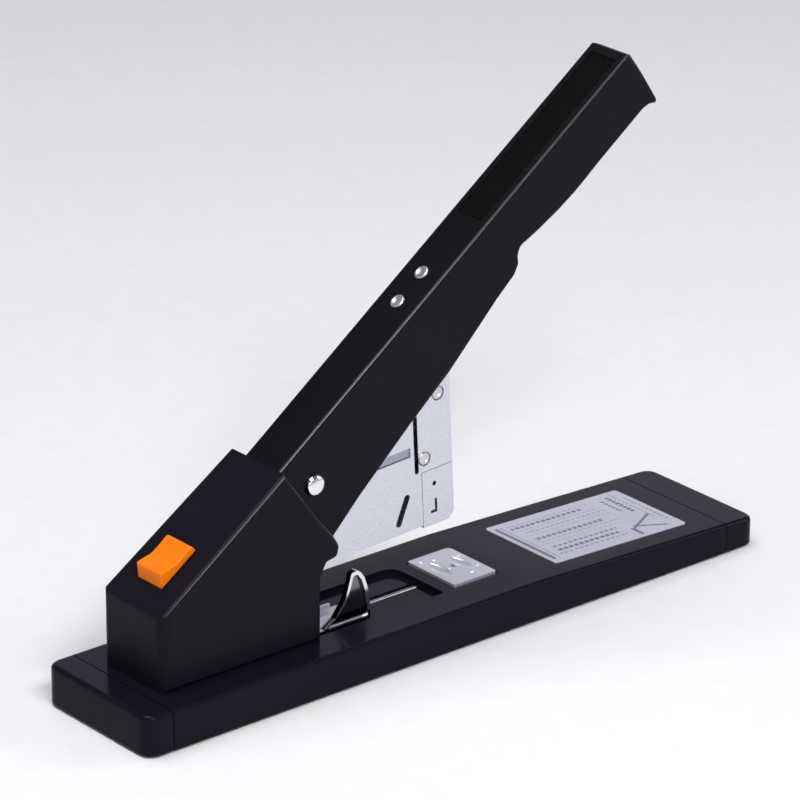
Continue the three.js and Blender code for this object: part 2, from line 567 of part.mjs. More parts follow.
function leverCore() {
  const { half, inner, u0, u1, flange } = CORE;
  const z1 = HANDLE.top - HANDLE.web - GAP;
  const cheek = outline([[41.5, z1 - 0.2], [41.5, -17, 2], [55, -17, 2], [55, z1 - 0.2]]);
  const slot = roundSlot(46.9, -13.25, 49.1, -13.25, 2.75);
  const plan = outline([[u0, -6.8, 2], [u1, -6.8, 2], [u1, 6.8, 2], [u0, 6.8, 2]]);
  const body = join(slab(plan, z1 - flange, z1),
    side(cheek, -half, -inner), side(cheek, inner, half)).subtract(slot);
  return inHandle(cut(body, ...WEB_RIVETS.map((u) => post(u, 0, 2.1, z1 - 3, z1 + 3))));
}
add('lever_core', 'zinc', leverCore());

WEB_RIVETS.forEach((u, i) => {
  const z1 = HANDLE.top - HANDLE.web - GAP - CORE.flange;
  const profile = [[0, z1 - 0.05], [2, z1 - 0.05], [2, HANDLE.top + 0.05], [2.8, HANDLE.top + 0.05],
    [2.75, HANDLE.top + 0.45], [2.4, HANDLE.top + 0.75], [0, HANDLE.top + 0.8]];
  add(`web_rivet_${i + 1}`, 'zinc', inHandle(solid(turned(profile, 24).translate(u, 0, 0))));
});

export default stapler;
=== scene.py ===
import math

import bmesh
import bpy
from mathutils import Matrix, Vector


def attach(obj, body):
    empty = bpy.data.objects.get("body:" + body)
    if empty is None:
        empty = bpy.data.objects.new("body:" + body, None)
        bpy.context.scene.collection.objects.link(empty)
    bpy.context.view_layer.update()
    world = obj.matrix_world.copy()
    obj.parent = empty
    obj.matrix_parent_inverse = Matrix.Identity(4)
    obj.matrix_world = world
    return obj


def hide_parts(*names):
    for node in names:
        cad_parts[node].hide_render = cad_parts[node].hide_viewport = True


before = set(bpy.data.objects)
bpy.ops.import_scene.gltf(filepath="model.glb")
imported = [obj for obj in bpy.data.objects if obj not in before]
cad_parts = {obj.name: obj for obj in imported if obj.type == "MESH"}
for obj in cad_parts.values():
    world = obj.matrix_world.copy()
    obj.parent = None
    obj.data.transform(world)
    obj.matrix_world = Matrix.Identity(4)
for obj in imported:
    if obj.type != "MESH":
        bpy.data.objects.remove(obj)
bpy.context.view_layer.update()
MM = 0.001


# ---------------------------------------------------------------- table, light and camera
# A plain pale table top under soft studio light: a large overhead box, a long strip to the front, a
# high box over the near side and a low fill. The camera looks down at the near rear corner with a
# long lens.
class Field:
    """One socket of a node tree; sums on it add Math nodes."""

    def __init__(self, tree, out):
        self.tree, self.out = tree, out

    def math(self, operation, *others, flip=False):
        made = self.tree.nodes.new("ShaderNodeMath")
        made.operation = operation
        values = (*others, self) if flip else (self, *others)
        for socket, value in zip(made.inputs, values):
            plug(self.tree, socket, value)
        return Field(self.tree, made.outputs[0])

    def __add__(self, other):
        return self.math("ADD", other)

    def __radd__(self, other):
        return self.math("ADD", other)

    def __sub__(self, other):
        return self.math("SUBTRACT", other)

    def __rsub__(self, other):
        return self.math("SUBTRACT", other, flip=True)

    def __mul__(self, other):
        return self.math("MULTIPLY", other)

    def __rmul__(self, other):
        return self.math("MULTIPLY", other)

    def __truediv__(self, other):
        return self.math("DIVIDE", other)

    def __abs__(self):
        return self.math("ABSOLUTE")

    def below(self, edge):
        return self.math("LESS_THAN", edge)

    def above(self, edge):
        return self.math("GREATER_THAN", edge)

    def between(self, low, high):
        return self.above(low) * self.below(high)

    def repeat(self, period):
        return self.math("FLOORED_MODULO", period)

    def ramp(self, low, high):
        span = (self - low) / (high - low)
        return span.math("MAXIMUM", 0.0).math("MINIMUM", 1.0)

    def either(self, other):
        return self.math("MAXIMUM", other)


def plug(tree, socket, value):
    if isinstance(value, Field):
        tree.links.new(value.out, socket)
    else:
        socket.default_value = value


class Wiring:
    """A node tree with one method that makes any node."""

    def __init__(self, tree):
        self.tree = tree

    def node(self, kind, settings=None, sockets=None, out=0):
        made = self.tree.nodes.new(kind)
        for name, value in (settings or {}).items():
            if name == "stops":
                ends = made.color_ramp.elements
                while len(ends) < len(value):
                    ends.new(0.5)
                for stop, (place, colour) in zip(ends, value):
                    stop.position, stop.color = place, (*colour, 1)
            else:
                setattr(made, name, value)
        for name, value in (sockets or {}).items():
            plug(self.tree, made.inputs[name], value)
        return Field(self.tree, made.outputs[out])


class Finish(Wiring):
    """A surface finish: one Principled shader and the nodes that feed it."""

    def __init__(self, name, colour, rough, metal=0.0, **constants):
        self.material = bpy.data.materials.new(name)
        self.material.use_nodes = True
        super().__init__(self.material.node_tree)
        self.shader = self.tree.nodes["Principled BSDF"]
        plug(self.tree, self.shader.inputs["Base Color"], (*colour, 1))
        plug(self.tree, self.shader.inputs["Roughness"], rough)
        plug(self.tree, self.shader.inputs["Metallic"], metal)
        for socket, value in constants.items():
            self.shader.inputs[socket.replace("_", " ")].default_value = value

    def feed(self, socket, value):
        plug(self.tree, self.shader.inputs[socket], value)

    def place(self, centre=(0, 0, 0), turn=(0, 0, 0), scale=(1, 1, 1)):
        spot = self.node("ShaderNodeTexCoord", out=3)
        return self.node("ShaderNodeMapping", {"vector_type": "TEXTURE"},
                         {"Vector": spot, "Location": centre, "Rotation": turn, "Scale": scale})

    def axes(self, vector):
        split = self.node("ShaderNodeSeparateXYZ", None, {"Vector": vector})
        return [Field(self.tree, socket) for socket in split.out.node.outputs]

    def noise(self, scale, detail=2.0, vector=None, rough=0.5):
        return self.node("ShaderNodeTexNoise", None, {
            "Vector": vector or self.place(), "Scale": scale, "Detail": detail, "Roughness": rough})

    def colours(self, factor, first, second):
        return self.node("ShaderNodeMix", {"data_type": "RGBA"}, {
            0: factor, 6: first if isinstance(first, Field) else (*first, 1),
            7: second if isinstance(second, Field) else (*second, 1)}, out=2)

    def relief(self, height, depth, strength=1.0):
        self.feed("Normal", self.node("ShaderNodeBump", None, {
            "Height": height, "Distance": depth, "Strength": strength}))


def table_top():
    paint = Finish("table_paint", (0.78, 0.78, 0.79), 0.62)
    grain = paint.noise(90, 4)
    paint.feed("Base Color", paint.colours(grain, (0.75, 0.75, 0.765), (0.81, 0.81, 0.815)))
    paint.feed("Roughness", 0.55 + 0.15 * grain)
    bpy.ops.mesh.primitive_plane_add(size=6, location=(0, 0, 0))
    top = bpy.context.object
    top.name = "table_top"
    top.data.materials.append(paint.material)


def studio():
    world = bpy.data.worlds.new("studio")
    bpy.context.scene.world = world
    world.use_nodes = True
    air = Wiring(world.node_tree)
    spot = air.node("ShaderNodeTexCoord", out=0)
    height = air.node("ShaderNodeSeparateXYZ", None, {"Vector": spot}, out=2)
    glow = air.node("ShaderNodeValToRGB", {"stops": [
        (0.0, (0.55, 0.55, 0.59)), (0.36, (0.50, 0.50, 0.56)), (0.6, (0.13, 0.13, 0.15)),
        (1.0, (0.18, 0.18, 0.20))]}, {"Fac": height})
    plug(world.node_tree, world.node_tree.nodes["Background"].inputs["Color"], glow)
    world.node_tree.nodes["Background"].inputs["Strength"].default_value = 1.0
    for name, place, aim, size, power in (
            ("overhead_box", (-0.35, 0.25, 1.7), (0, 0, 0.05), (1.3, 0.9), 17),
            ("front_strip", (1.5, -0.9, 0.9), (0, 0, 0.08), (0.5, 1.2), 9),
            ("near_high_box", (-0.35, -1.05, 1.2), (0, 0, 0.1), (0.7, 0.35), 16),
            ("near_fill", (-1.1, -1.5, 0.8), (0, 0, 0.08), (1.0, 0.7), 4)):
        lamp = bpy.data.lights.new(name, "AREA")
        lamp.shape, lamp.size, lamp.size_y, lamp.energy = "RECTANGLE", *size, power
        holder = bpy.data.objects.new(name, lamp)
        holder.location = place
        holder.rotation_euler = (Vector(place) - Vector(aim)).to_track_quat("Z", "Y").to_euler()
        bpy.context.collection.objects.link(holder)


def camera():
    azimuth, elevation, roll = (math.radians(a) for a in (-40.1, 22.49, 0.35))
    back = Vector((math.sin(azimuth) * math.cos(elevation),
                   -math.cos(azimuth) * math.cos(elevation), math.sin(elevation)))
    right = Vector((0, 0, 1)).cross(back).normalized()
    up = back.cross(right)
    across = math.cos(roll) * right + math.sin(roll) * up
    upward = math.cos(roll) * up - math.sin(roll) * right
    lens = bpy.data.cameras.new("camera")
    lens.lens, lens.sensor_width, lens.clip_start = 213.8, 36, 0.05
    eye = bpy.data.objects.new("camera", lens)
    eye.matrix_world = Matrix.Translation((-1.0243, -1.2077, 0.7434)) @ Matrix(
        (across, upward, back)).transposed().to_4x4()
    bpy.context.collection.objects.link(eye)
    bpy.context.scene.camera = eye


table_top()
studio()
camera()
bpy.context.scene.view_settings.view_transform = "Standard"


# ---------------------------------------------------------------- base: three moulded lengths
# The base is a hollow tray moulded in polished black plastic: a long middle length and two rounded
# end caps pushed on at fine seams. Its flat top is glossier than its sides and its skin keeps a
# faint ripple.
def softened(node, name, body, finish, edge=0.25, steps=2, sharp=30):
    """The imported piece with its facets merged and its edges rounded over."""
    work = bmesh.new()
    work.from_mesh(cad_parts[node].data)
    bmesh.ops.remove_doubles(work, verts=work.verts, dist=3e-6)
    bmesh.ops.dissolve_limit(work, angle_limit=math.radians(0.7), verts=work.verts, edges=work.edges)
    mesh = bpy.data.meshes.new(name)
    work.to_mesh(mesh)
    work.free()
    piece = bpy.data.objects.new(name, mesh)
    bpy.context.collection.objects.link(piece)
    if edge:
        round_over = piece.modifiers.new("edges", "BEVEL")
        round_over.width, round_over.segments = edge * MM, steps
        round_over.limit_method, round_over.angle_limit = "ANGLE", math.radians(sharp)
        round_over.miter_outer = "MITER_ARC"
    return settle(piece, body, finish, node)


def settle(piece, body, finish, *nodes):
    """Applies the modifiers, smooths the faces and rides the piece on its body."""
    if piece.modifiers:
        whole = bpy.data.meshes.new_from_object(
            piece.evaluated_get(bpy.context.evaluated_depsgraph_get()))
        piece.modifiers.clear()
        piece.data = whole
    piece.data.materials.clear()
    piece.data.materials.append(finish.material)
    piece.data.shade_smooth()
    piece.data.set_sharp_from_angle(angle=math.radians(34))
    even = piece.modifiers.new("even_normals", "WEIGHTED_NORMAL")
    even.keep_sharp, even.weight = True, 100
    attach(piece, body)
    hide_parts(*nodes)
    return piece


def polished_plastic():
    skin = Finish("polished_black_plastic", (0.010, 0.0092, 0.0135), 0.2,
                  Specular_IOR_Level=0.05, Coat_IOR=1.36, Coat_Roughness=0.16,
                  Coat_Tint=(0.88, 0.84, 1.0, 1.0))
    cloud = skin.noise(45, 5)
    smear = skin.noise(9, 3, skin.place(scale=(1, 4, 4)))
    speck = skin.node("ShaderNodeTexVoronoi", None, {"Vector": skin.place(), "Scale": 260.0})
    dust = speck.below(0.055)
    skin.feed("Roughness", 0.13 + 0.1 * cloud + 0.08 * smear.ramp(0.5, 0.75) + 0.25 * dust)
    skin.feed("Base Color", skin.colours(cloud * 0.6 + dust * 0.3, (0.0050, 0.0045, 0.0085),
                                         (0.0095, 0.0085, 0.0145)))
    upward = skin.axes(skin.node("ShaderNodeTexCoord", out=1))[2]
    skin.feed("Coat Weight", upward.ramp(0.8, 0.98) * (0.36 + 0.12 * cloud))
    skin.relief(skin.noise(160, 2) + 0.35 * skin.noise(1900, 2), 0.00003, 0.5)
    return skin


BASE_PLASTIC = polished_plastic()
softened("base_shell", "base_middle", "base", BASE_PLASTIC, 0.25, 3)
softened("rear_end_cap", "base_rear_cap", "base", BASE_PLASTIC, 0.22, 3)
softened("front_end_cap", "base_front_cap", "base", BASE_PLASTIC, 0.22, 3)


# ---------------------------------------------------------------- chassis plate and screws
# A zinc-plated steel plate stiffens the base from below. Four slotted pan-head screws hold it to the
# posts of the moulding.
def plated_steel(name, turn=(0, 0, 0), tint=(0.66, 0.68, 0.74), rough=0.27, pull=(0.4, 22, 22)):
    metal = Finish(name, tint, rough, 1.0)
    lie = metal.place(turn=turn, scale=tuple(1 / p for p in pull))
    draw = metal.noise(34, 3, lie)
    cloud = metal.noise(70, 4)
    spangle = metal.node("ShaderNodeTexVoronoi", None, {"Vector": metal.place(), "Scale": 420.0}, out=1)
    patch = metal.axes(spangle)[0]
    dull = tuple(c * 0.95 for c in tint)
    metal.tone = metal.colours(0.55 * draw + 0.3 * cloud + 0.15 * patch, dull,
                               tuple(min(1, c * 1.03) for c in tint))
    metal.feed("Base Color", metal.tone)
    metal.feed("Roughness", rough - 0.06 + 0.07 * draw + 0.06 * cloud + 0.02 * patch)
    metal.relief(draw + 0.2 * metal.noise(2600, 1), 0.000002, 0.4)
    return metal


class Tree(Wiring):
    """A Geometry Nodes tree with named inputs, read back as one plain mesh."""

    def __init__(self, name):
        group = bpy.data.node_groups.new(name, "GeometryNodeTree")
        super().__init__(group)
        group.interface.new_socket("Geometry", in_out="INPUT", socket_type="NodeSocketGeometry")
        group.interface.new_socket("Geometry", in_out="OUTPUT", socket_type="NodeSocketGeometry")
        self.entry = group.nodes.new("NodeGroupInput")
        self.exit = group.nodes.new("NodeGroupOutput")
        self.values = {}

    def size(self, name, value):
        """A named input with the value it gets on the modifier."""
        kind = {int: "NodeSocketInt", float: "NodeSocketFloat"}.get(type(value), "NodeSocketVector")
        socket = self.tree.interface.new_socket(name, in_out="INPUT", socket_type=kind)
        self.values[socket.identifier] = value
        return Field(self.tree, self.entry.outputs[name])

    def geometry(self):
        return Field(self.tree, self.entry.outputs["Geometry"])

    def build(self, name, shape, material, start=None):
        """Realizes the shape, sets its finish and returns the finished object."""
        whole = self.node("GeometryNodeRealizeInstances", None, {"Geometry": shape})
        coated = self.node("GeometryNodeSetMaterial", None, {"Geometry": whole, "Material": material})
        self.tree.links.new(coated.out, self.exit.inputs[0])
        piece = bpy.data.objects.new(name, start or bpy.data.meshes.new(name))
        bpy.context.collection.objects.link(piece)
        maker = piece.modifiers.new("maker", "NODES")
        maker.node_group = self.tree
        for identifier, value in self.values.items():
            maker[identifier] = value
        mesh = bpy.data.meshes.new_from_object(
            piece.evaluated_get(bpy.context.evaluated_depsgraph_get()))
        piece.modifiers.clear()
        piece.data = mesh
        work = bmesh.new()
        work.from_mesh(mesh)
        bmesh.ops.remove_doubles(work, verts=work.verts, dist=2e-6)
        bmesh.ops.recalc_face_normals(work, faces=work.faces)
        work.to_mesh(mesh)
        work.free()
        return piece


def spun(name, profile, finish, centre, turn=(0, 0, 0), along=(1, (0, 0, 0)), across=(1, (0, 0, 0)),
         steps=48):
    """A turned piece from (radius, height) pairs in mm, repeated along two directions."""
    line = bpy.data.meshes.new(name + "_profile")
    line.from_pydata([(r * MM, 0, h * MM) for r, h in profile],
                     [(i, i + 1) for i in range(len(profile) - 1)], [])
    tree = Tree(name + "_turning")
    rows = len(profile)
    grid = tree.node("GeometryNodeMeshGrid", None, {
        "Size X": 1.0, "Size Y": 1.0, "Vertices X": tree.size("Steps", steps + 1), "Vertices Y": rows})
    spot = tree.node("GeometryNodeInputPosition")
    x, y, _ = (Field(tree.tree, s) for s in tree.node(
        "ShaderNodeSeparateXYZ", None, {"Vector": spot}).out.node.outputs)
    row = ((y + 0.5) * (rows - 1.0) + 0.5).math("FLOOR")
    picked = tree.node("GeometryNodeSampleIndex", {"data_type": "FLOAT_VECTOR", "domain": "POINT"}, {
        "Geometry": tree.geometry(), "Value": tree.node("GeometryNodeInputPosition"), "Index": row})
    radius, _, level = (Field(tree.tree, s) for s in tree.node(
        "ShaderNodeSeparateXYZ", None, {"Vector": picked}).out.node.outputs)
    angle = x * (2 * math.pi)
    swept = tree.node("ShaderNodeCombineXYZ", None, {
        "X": radius * angle.math("COSINE"), "Y": radius * angle.math("SINE"), "Z": level})
    body = tree.node("GeometryNodeSetPosition", None, {"Geometry": grid, "Position": swept})
    for label, (count, step) in (("along", along), ("across", across)):
        points = tree.node("GeometryNodeMeshLine", None, {
            "Count": tree.size("Count " + label, count),
            "Offset": tree.size("Step " + label, tuple(v * MM for v in step))})
        body = tree.node("GeometryNodeInstanceOnPoints", None, {"Points": points, "Instance": body})
    body = tree.node("GeometryNodeTransform", None, {
        "Geometry": body, "Translation": tree.size("Place", tuple(v * MM for v in centre)),
        "Rotation": tree.size("Turn", turn)})
    return tree.build(name, body, finish.material, line)


ZINC = plated_steel("zinc_plate")
softened("chassis_plate", "base_chassis", "base", ZINC, 0.3, 2)
for row, x in (("rear", -92), ("front", 60)):
    pair = [f"base_screw_{row}_near", f"base_screw_{row}_far"]
    screw = spun(f"chassis_screws_{row}", [
        (0, 2.1), (0.9, 2.1), (0.9, 1.45), (2.0, 1.42), (2.7, 1.7), (3.1, 2.2), (3.2, 2.6), (3.2, 2.9),
        (1.5, 2.9), (1.5, 10.0), (1.2, 10.2), (0, 10.2)], ZINC, (x, -22.5, 0), across=(2, (0, 45, 0)))
    settle(screw, "base", ZINC, *pair)


# ---------------------------------------------------------------- feet
# Four round rubber feet are pressed into the chassis plate and carry the whole stapler.
def soft_rubber(name, grain=2200, depth=0.00005, shade=0.012, shine=0.2):
    rubber = Finish(name, (shade, shade, shade), 0.8, Specular_IOR_Level=shine)
    cloud = rubber.noise(120, 4)
    rubber.feed("Base Color", rubber.colours(cloud, (0.7 * shade,) * 3, (1.4 * shade,) * 3))
    rubber.feed("Roughness", 0.72 + 0.16 * cloud)
    rubber.relief(rubber.noise(grain, 3), depth, 0.8)
    return rubber


RUBBER = soft_rubber("foot_rubber")
for row, x in (("rear", -112), ("front", 104)):
    feet = spun(f"rubber_feet_{row}", [
        (0, 0.35), (2.6, 0.35), (3.1, 0.0), (5.0, 0.0), (5.6, 0.25), (5.9, 0.8), (6, 1.4), (6, 2.9),
        (0, 2.9)], RUBBER, (x, -19, 0), across=(2, (0, 38, 0)), steps=56)
    settle(feet, "base", RUBBER, f"foot_{row}_near", f"foot_{row}_far")


# ---------------------------------------------------------------- anvil
# A pressed steel plate let into the base top. Its two long hollows bend the staple legs and its small
# dimples are punch marks from riveting it down.
ANVIL_STEEL = plated_steel("anvil_steel", tint=(0.86, 0.87, 0.97), rough=0.24, pull=(22, 0.6, 22))
ANVIL_STEEL.feed("Metallic", 0.72)
softened("anvil_plate", "anvil", "base", ANVIL_STEEL, 0.18, 3)


# ---------------------------------------------------------------- data plate
# A thin silver foil plate glued into a shallow pocket. Its print is plain: bars, rows of small cells
# that stand for a table of staple sizes, short rows that stand for words, and a simple line figure.
def printed_foil():
    foil = Finish("printed_foil", (0.5, 0.51, 0.57), 0.42, 0.35)
    x, y, _ = foil.axes(foil.place(centre=(84.8 * MM, 0, 0), scale=(MM, MM, MM)))
    ink = abs(x + 30.6).below(0.85) * abs(y).below(17) * 0.9
    ink = ink.either(abs(x + 28.3).below(0.25) * abs(y).below(17) * 0.6)
    cell = (x + 40).repeat(2.6).between(0.4, 2.2)
    for middle, width, dark, low, high in (
            (15.6, 0.8, 0.4, -26, 15), (13.1, 1.7, 0.9, -26, 9), (10.3, 0.8, 0.35, -26, 16),
            (7.6, 0.9, 0.45, -24, 16), (4.9, 0.7, 0.3, -26, 16), (0.9, 1.9, 0.8, -25, 9),
            (-2.0, 0.8, 0.45, -25, 16), (-4.7, 0.7, 0.3, -25, 16), (-8.2, 1.4, 0.75, -24, 8),
            (-11.6, 1.8, 0.95, -25, 6), (-14.6, 1.1, 0.6, -26, 8)):
        row = abs(y - middle).below(width / 2) * x.between(low, high)
        ink = ink.either(row * cell * dark)
    words = (y + 40).repeat(2.1).between(0.3, 1.8)
    for place, width, low, high, dark in (
            (20.6, 1.4, 3, 15, 0.8), (24.6, 1.9, 0, 16, 0.95), (27.6, 0.8, -8, 16, 0.5),
            (30.4, 0.8, -13, 13, 0.7)):
        ink = ink.either(abs(x - place).below(width / 2) * y.between(low, high) * words * dark)
    sketch_x, sketch_y = x - 20.5, y + 9.5
    lever = abs(sketch_y - sketch_x * 0.55 - 1.0).below(0.7) * abs(sketch_x).below(7)
    jaw = abs(sketch_y + sketch_x * 0.5 + 4.2).below(0.6) * abs(sketch_x).below(6)
    plinth = abs(sketch_x + 8.0).below(0.9) * sketch_y.between(-9, -2.5)
    ink = ink.either(lever.either(jaw).either(plinth) * 0.9)
    grain = foil.noise(60, 4, foil.place(scale=(0.2, 1, 1)))
    silver = foil.colours(grain, (0.53, 0.53, 0.64), (0.67, 0.67, 0.78))
    foil.feed("Base Color", foil.colours(ink * (0.75 + 0.25 * grain), silver, (0.05, 0.05, 0.065)))
    foil.feed("Roughness", 0.34 + 0.1 * grain + 0.12 * ink)
    foil.feed("Metallic", 0.4 - 0.35 * ink)
    foil.relief(foil.noise(700, 2) + 0.5 * ink, 0.00001, 0.5)
    return foil


softened("label_plate", "data_plate", "base", printed_foil(), 0.1, 2)


# ---------------------------------------------------------------- paper stop and its rail
# A chrome-plated stop pressed from one sheet: a foot plate that slides on a round rail in the base
# recess, and an upright fin with a raised rim that the paper meets.
def bright_chrome():
    chrome = Finish("bright_chrome", (0.80, 0.81, 0.84), 0.07, 1.0)
    cloud = chrome.noise(140, 4)
    hairline = chrome.noise(30, 2, chrome.place(scale=(1, 0.05, 1)))
    _, y, z = chrome.axes(chrome.place(scale=(MM, MM, MM)))
    foot_top = 15.6
    # Painted shade: the fin's recessed inner face is coloured dark as a painted dark reflection, and the
    # foot's near edge below the fin as a painted shadow line.
    painted_dark_fin_face = y.between(-10.4, -9.4) * z.above(foot_top + 0.1)
    painted_foot_edge_shadow = y.below(-10.9) * z.below(foot_top) * 0.7
    painted_shade = painted_dark_fin_face.either(painted_foot_edge_shadow)
    bright = chrome.colours(cloud, (0.74, 0.75, 0.79), (0.84, 0.85, 0.88))
    chrome.feed("Base Color", chrome.colours(painted_shade, bright, (0.17, 0.17, 0.19)))
    chrome.feed("Roughness", 0.05 + 0.07 * cloud + 0.04 * hairline)
    chrome.relief(chrome.noise(420, 2), 0.00001, 0.5)
    return chrome


CHROME = bright_chrome()
softened("paper_stop", "paper_stop_fin", "stop", CHROME, 0.28, 3)
rail = spun("paper_stop_rail", [(0, 0), (0.8, 0), (1, 0.2), (1, 62.2), (0.8, 62.4), (0, 62.4)], CHROME,
            (-61.7, -0.2, 13.15), (0, math.radians(90), 0), steps=32)
settle(rail, "base", CHROME, "stop_rail")


# ---------------------------------------------------------------- yoke, hinge pin and lift spring
# Under the cover a bent steel yoke carries the head on a 6 mm pin, and a coil spring on the chassis
# pushes the head up again after a stroke.
DARK_ZINC = plated_steel("yoke_steel", tint=(0.56, 0.57, 0.60), rough=0.34)
softened("yoke", "rear_yoke", "base", DARK_ZINC, 0.25, 2)
pin = spun("rear_hinge_pin", [
    (0, -12.15), (2.6, -12.15), (3.7, -11.9), (4.3, -11.3), (4.4, -10.75), (3, -10.75), (3, 10.75),
    (4.4, 10.75), (4.4, 11.2), (4.0, 11.75), (3.0, 12.05), (1.6, 12.15), (0, 12.15)], ZINC,
    (-117, 0, 37), (math.radians(90), 0, 0))
settle(pin, "base", ZINC, "hinge_pin")


def spring_wire():
    wire = Finish("spring_wire", (0.42, 0.42, 0.45), 0.3, 1.0)
    streak = wire.noise(900, 3)
    wire.feed("Base Color", wire.colours(streak, (0.32, 0.32, 0.35), (0.52, 0.52, 0.55)))
    wire.feed("Roughness", 0.26 + 0.16 * streak)
    wire.relief(streak, 0.00001, 0.6)
    return wire


WIRE = spring_wire()


def coil_spring(name, radius, wire, turns, low, high, centre, turn=(0, 0, 0)):
    tree = Tree(name + "_winding")
    path = tree.node("GeometryNodeCurveSpiral", None, {
        "Resolution": 40, "Rotations": tree.size("Turns", turns), "Height": 0.0,
        "Start Radius": tree.size("Radius", radius * MM),
        "End Radius": tree.size("End radius", radius * MM)})
    share = tree.node("GeometryNodeSplineParameter")
    rise = (share - 0.08) / 0.84
    rise = rise.math("MAXIMUM", 0.0).math("MINIMUM", 1.0)
    lead = (share.math("MINIMUM", 0.08) + share.math("MAXIMUM", 0.92) - 0.92) * (0.9 / 0.08)
    lift = rise * ((high - low) * MM) + lead * MM + low * MM
    path = tree.node("GeometryNodeSetPosition", None, {
        "Geometry": path, "Offset": tree.node("ShaderNodeCombineXYZ", None, {"Z": lift})})
    ring = tree.node("GeometryNodeCurvePrimitiveCircle", {"mode": "RADIUS"}, {
        "Resolution": 14, "Radius": tree.size("Wire", wire * MM)})
    body = tree.node("GeometryNodeCurveToMesh", None, {
        "Curve": path, "Profile Curve": ring, "Fill Caps": True})
    body = tree.node("GeometryNodeTransform", None, {
        "Geometry": body, "Translation": tree.size("Place", tuple(v * MM for v in centre)),
        "Rotation": tree.size("Turn", turn)})
    return tree.build(name, body, WIRE.material)


coil = coil_spring("head_lift_spring", 5, 0.6, 7.5, 7.3, 32.6, (-85, 0, 0))
settle(coil, "base", WIRE, "lift_spring")


# ---------------------------------------------------------------- rear cover
# The cover is a hollow wedge moulded in satin black plastic. It hooks over the yoke, slopes up to the
# handle and ends in two side cheeks with a short turned-out lip.
def worn_edge(skin, weight):
    """Handling polishes the rounded long edges, where the face turns from side to top."""
    _, across, upward = skin.axes(skin.node("ShaderNodeTexCoord", out=1))
    turned = abs(across).ramp(0.22, 0.45) * (1.0 - abs(across).ramp(0.85, 0.95))
    skin.feed("Coat Weight", turned * upward.ramp(0.1, 0.3) * weight)


def satin_plastic():
    skin = Finish("satin_black_plastic", (0.014, 0.0132, 0.0165), 0.4,
                  Specular_IOR_Level=0.06, Coat_IOR=1.5, Coat_Roughness=0.2)
    cloud = skin.noise(38, 5)
    rub = skin.noise(16, 3, skin.place(scale=(1, 1, 3)))
    skin.feed("Base Color", skin.colours(cloud, (0.0050, 0.0045, 0.0080), (0.0083, 0.0075, 0.0122)))
    skin.feed("Roughness", 0.33 + 0.1 * cloud + 0.08 * rub.ramp(0.5, 0.8))
    worn_edge(skin, 0.12 + 0.1 * cloud)
    skin.relief(skin.noise(2400, 3) + 0.4 * skin.noise(240, 2), 0.000035, 0.6)
    return skin


COVER_PLASTIC = satin_plastic()
softened("rear_cover", "rear_cover_shell", "base", COVER_PLASTIC, 0.3, 3)


# ---------------------------------------------------------------- release button
# An orange slide button rides in a slot of the cover slope. Its raised lip gives the thumb a hold.
def orange_plastic():
    skin = Finish("orange_plastic", (0.88, 0.18, 0.002), 0.36, Specular_IOR_Level=0.15)
    cloud = skin.noise(150, 4)
    skin.feed("Base Color", skin.colours(cloud, (0.85, 0.165, 0.0015), (0.90, 0.20, 0.003)))
    skin.feed("Roughness", 0.3 + 0.14 * cloud)
    skin.relief(skin.noise(1800, 3), 0.00003, 0.6)
    return skin


softened("release_button", "release_slide_button", "button", orange_plastic(), 0.3, 3)


# ---------------------------------------------------------------- head: side plates, front plate, studs
# Two pressed steel plates, bright zinc plated, stand on a folded front plate. Flush studs in clearance
# rings hold them, and long slots guide the driver. A pressed rib lies deeper, and its floor is painted
# darker as painted shade.
PITCH = math.radians(3.2)
NOSE = (11.6, 42.9)
RIB_FLOOR = 8.0
PLATE_STEEL = plated_steel("head_plate_steel", (0, -PITCH, 0), tint=(0.63, 0.645, 0.72),
                           rough=0.25, pull=(0.5, 20, 20))
# Painted shade: faces at the rib floor's depth get a darker colour, which stands in for the shade in the
# recess.
depth = abs(PLATE_STEEL.axes(PLATE_STEEL.place(scale=(MM, MM, MM)))[1])
PLATE_STEEL.feed("Base Color", PLATE_STEEL.colours(
    depth.between(RIB_FLOOR - 0.1, RIB_FLOOR + 0.1), PLATE_STEEL.tone, (0.33, 0.35, 0.42)))
for side in ("near", "far"):
    softened(f"head_plate_{side}", f"head_side_plate_{side}", "head", PLATE_STEEL, 0.16, 2)
softened("head_front_plate", "head_front", "head", PLATE_STEEL, 0.25, 3)


def in_head(p, q):
    """A point p mm forward and q mm up from the nose corner, in the head's own tilt."""
    return (NOSE[0] + p * math.cos(PITCH) - q * math.sin(PITCH),
            NOSE[1] + p * math.sin(PITCH) + q * math.cos(PITCH))


STUD_STEEL = plated_steel("stud_steel", tint=(0.62, 0.6, 0.58), rough=0.3)
for level, p, q in (("upper", -5.7, 50), ("lower", -13, 26.2)):
    x, z = in_head(p, q)
    for side, sign in (("near", -1), ("far", 1)):
        stud = spun(f"head_stud_{level}_{side}", [
            (0, 7.4), (2.4, 7.4), (2.4, 8.45), (2.25, 8.62), (1.7, 8.74), (1.2, 8.7), (1.0, 8.5),
            (0, 8.45)], STUD_STEEL, (x, 0, z), (math.radians(-90 * sign), 0, 0), steps=40)
        settle(stud, "head", STUD_STEEL, f"head_rivet_{level}_{side}")
softened("spring_seat", "lift_spring_seat", "head", DARK_ZINC, 0.2, 2)
latch_pin = spun("latch_pivot_pin", [(0, -7.3), (1.3, -7.3), (1.5, -7.1), (1.5, 7.1), (1.3, 7.3), (0, 7.3)],
                 ZINC, (-107, 0, 43.5), (math.radians(90), 0, 0), steps=32)
settle(latch_pin, "head", ZINC, "latch_pin")


